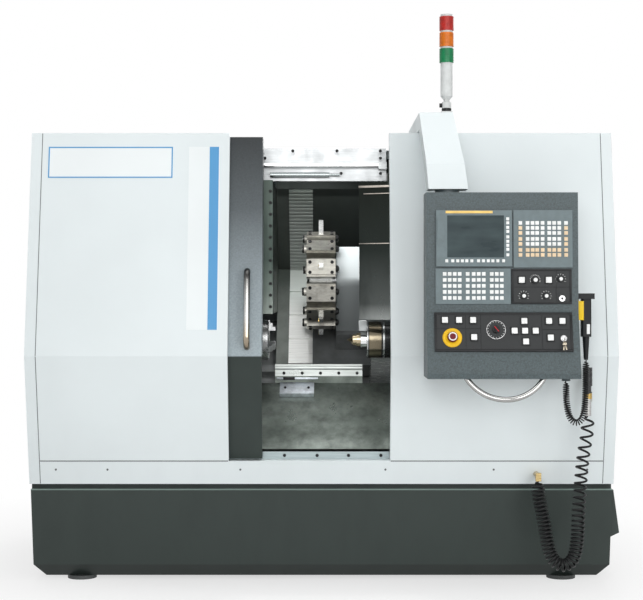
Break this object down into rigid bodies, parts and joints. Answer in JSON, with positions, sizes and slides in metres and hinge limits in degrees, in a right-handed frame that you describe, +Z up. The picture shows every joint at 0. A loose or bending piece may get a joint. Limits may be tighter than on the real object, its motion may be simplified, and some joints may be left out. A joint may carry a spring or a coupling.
{
  "type": "cnc turning lathe",
  "caption": "Slant bed CNC turning lathe with an open sliding door, tool turret, tailstock, control pendant and beacon.",
  "frame": {"origin": "on the floor at the centre of the four anchor holes", "axes": "+Z up, -Y towards the operator, +X to the operator's right along the spindle"},
  "size_m": [2.422, 1.896, 2.301],
  "materials": {
    "white_paint": "fine textured pale grey-white powder coat",
    "dark_paint": "textured charcoal powder coat",
    "door_paint": "hammered grey paint",
    "pendant_paint": "hammered slate paint",
    "cast_iron": "painted and machined castings",
    "ground_steel": "ground and turned steel",
    "stainless": "brushed stainless sheet",
    "dark_sheet": "dark chamber sheet",
    "aluminium": "drawn aluminium strip",
    "chrome": "polished chrome",
    "glass": "clear laminated pane",
    "screen": "switched off display",
    "lens": "red, amber and green lens rings",
    "grey_plastic": "moulded slate grey",
    "black_plastic": "moulded black",
    "white_plastic": "moulded white",
    "red_plastic": "moulded red",
    "yellow_plastic": "moulded yellow",
    "rubber": "black cord jacket",
    "brass": "turned brass"
  },
  "bodies": {
    "machine": {"base_frame": "dark_paint", "levelling_feet": "cast_iron", "coolant_tank": "dark_paint", "left_end_cover": "white_paint", "right_end_cover": "white_paint", "rear_cover": "white_paint", "roof_cover": "white_paint", "front_left_cover": "white_paint", "front_right_cover": "white_paint", "front_skirt": "white_paint", "door_sill": "aluminium", "rear_wall": "dark_sheet", "way_cover": "stainless", "left_wall": "stainless", "right_guard": "stainless", "chip_apron": "stainless", "door_track": "aluminium", "guide_rod": "chrome", "door_damper": "ground_steel", "slant_bed": "cast_iron", "headstock": "cast_iron", "pendant_arm": "white_paint", "beacon_post": "white_plastic", "beacon_lenses": "lens", "air_fitting": "brass", "air_hose": "rubber", "air_coupler": "ground_steel"},
    "door": {"door_leaf": "door_paint", "door_window": "glass", "door_handle": "chrome", "door_hangers": "aluminium"},
    "spindle": {"spindle": "ground_steel", "chuck_body": "ground_steel"},
    "jaw_1": {"chuck_jaw_1": "ground_steel"},
    "jaw_2": {"chuck_jaw_2": "ground_steel"},
    "jaw_3": {"chuck_jaw_3": "ground_steel"},
    "saddle": {"z_saddle": "cast_iron"},
    "cross_slide": {"cross_slide": "cast_iron", "turret_housing": "white_paint"},
    "turret": {"turret_disc": "ground_steel", "tool_holders": "ground_steel", "cutting_tools": "ground_steel"},
    "tailstock": {"tailstock": "cast_iron"},
    "quill": {"tailstock_quill": "chrome"},
    "live_centre": {"live_centre": "brass"},
    "pendant": {"pendant_housing": "pendant_paint", "display_unit": "grey_plastic", "display_screen": "screen", "keypads": "grey_plastic", "switch_panels": "black_plastic", "pendant_handle": "chrome", "handheld_unit": "black_plastic", "coil_cord": "rubber"},
    "lever": {"handheld_lever": "yellow_plastic"},
    "stop_button": {"emergency_stop": "red_plastic"},
    "start_button": {"cycle_start_button": "white_plastic"},
    "hold_button": {"feed_hold_button": "white_plastic"},
    "mode_dial": {"mode_dial": "black_plastic"},
    "feed_dial": {"feed_dial": "black_plastic"},
    "key_switch": {"key_switch": "ground_steel"}
  },
  "joints": [
    {"name": "door_slide", "type": "slide", "parent": "machine", "child": "door", "axis": [1, 0, 0], "range_m": [0, 0.52]},
    {"name": "spindle_turn", "type": "hinge", "parent": "machine", "child": "spindle", "pos_m": [0, -0.35, 0.986], "axis": [1, 0, 0], "continuous": true},
    {"name": "jaw_1_slide", "type": "slide", "parent": "spindle", "child": "jaw_1", "axis": [0, 0, 1], "range_m": [0, 0.0074]},
    {"name": "jaw_2_slide", "type": "slide", "parent": "spindle", "child": "jaw_2", "axis": [0, -0.866, -0.5], "range_m": [0, 0.0074]},
    {"name": "jaw_3_slide", "type": "slide", "parent": "spindle", "child": "jaw_3", "axis": [0, 0.866, -0.5], "range_m": [0, 0.0074]},
    {"name": "z_slide", "type": "slide", "parent": "machine", "child": "saddle", "axis": [1, 0, 0], "range_m": [-0.1, 0.1]},
    {"name": "x_slide", "type": "slide", "parent": "saddle", "child": "cross_slide", "axis": [0, 0.7071, 0.7071], "range_m": [-0.1, 0.06]},
    {"name": "turret_index", "type": "hinge", "parent": "cross_slide", "child": "turret", "pos_m": [0, -0.09332, 1.24268], "axis": [1, 0, 0], "continuous": true},
    {"name": "tailstock_slide", "type": "slide", "parent": "machine", "child": "tailstock", "axis": [1, 0, 0], "range_m": [-0.1, 0.3]},
    {"name": "quill_slide", "type": "slide", "parent": "tailstock", "child": "quill", "axis": [-1, 0, 0], "range_m": [0, 0.08]},
    {"name": "live_centre_turn", "type": "hinge", "parent": "quill", "child": "live_centre", "pos_m": [0, -0.35, 0.986], "axis": [1, 0, 0], "continuous": true},
    {"name": "pendant_swivel", "type": "hinge", "parent": "machine", "child": "pendant", "pos_m": [0.492, -0.917, 1.585], "axis": [0, 0, 1], "range_deg": [-90, 0]},
    {"name": "lever_press", "type": "hinge", "parent": "pendant", "child": "lever", "pos_m": [0.998, -0.95, 1.16], "axis": [0, -1, 0], "range_deg": [0, 6], "stiffness_Nm_per_rad": 1},
    {"name": "stop_press", "type": "slide", "parent": "pendant", "child": "stop_button", "axis": [0, 0.9649, -0.2624], "range_m": [0, 0.006]},
    {"name": "start_press", "type": "slide", "parent": "pendant", "child": "start_button", "axis": [0, 0.9649, -0.2624], "range_m": [0, 0.003], "stiffness_N_per_m": 300},
    {"name": "hold_press", "type": "slide", "parent": "pendant", "child": "hold_button", "axis": [0, 0.9649, -0.2624], "range_m": [0, 0.003], "stiffness_N_per_m": 300},
    {"name": "mode_turn", "type": "hinge", "parent": "pendant", "child": "mode_dial", "pos_m": [0.67048, -1.03026, 1.04451], "axis": [0, -0.9649, 0.2624], "range_deg": [-120, 120]},
    {"name": "feed_turn", "type": "hinge", "parent": "pendant", "child": "feed_dial", "pos_m": [0.82411, -1.00609, 1.2386], "axis": [0, -0.9995, 0.0327], "range_deg": [-135, 135]},
    {"name": "key_turn", "type": "hinge", "parent": "pendant", "child": "key_switch", "pos_m": [0.92833, -1.03938, 1.01098], "axis": [0, -0.9649, 0.2624], "range_deg": [0, 90]}
  ],
  "couplings": [
    {"joint": "jaw_2_slide", "follows": "jaw_1_slide", "ratio": 1},
    {"joint": "jaw_3_slide", "follows": "jaw_1_slide", "ratio": 1}
  ]
}
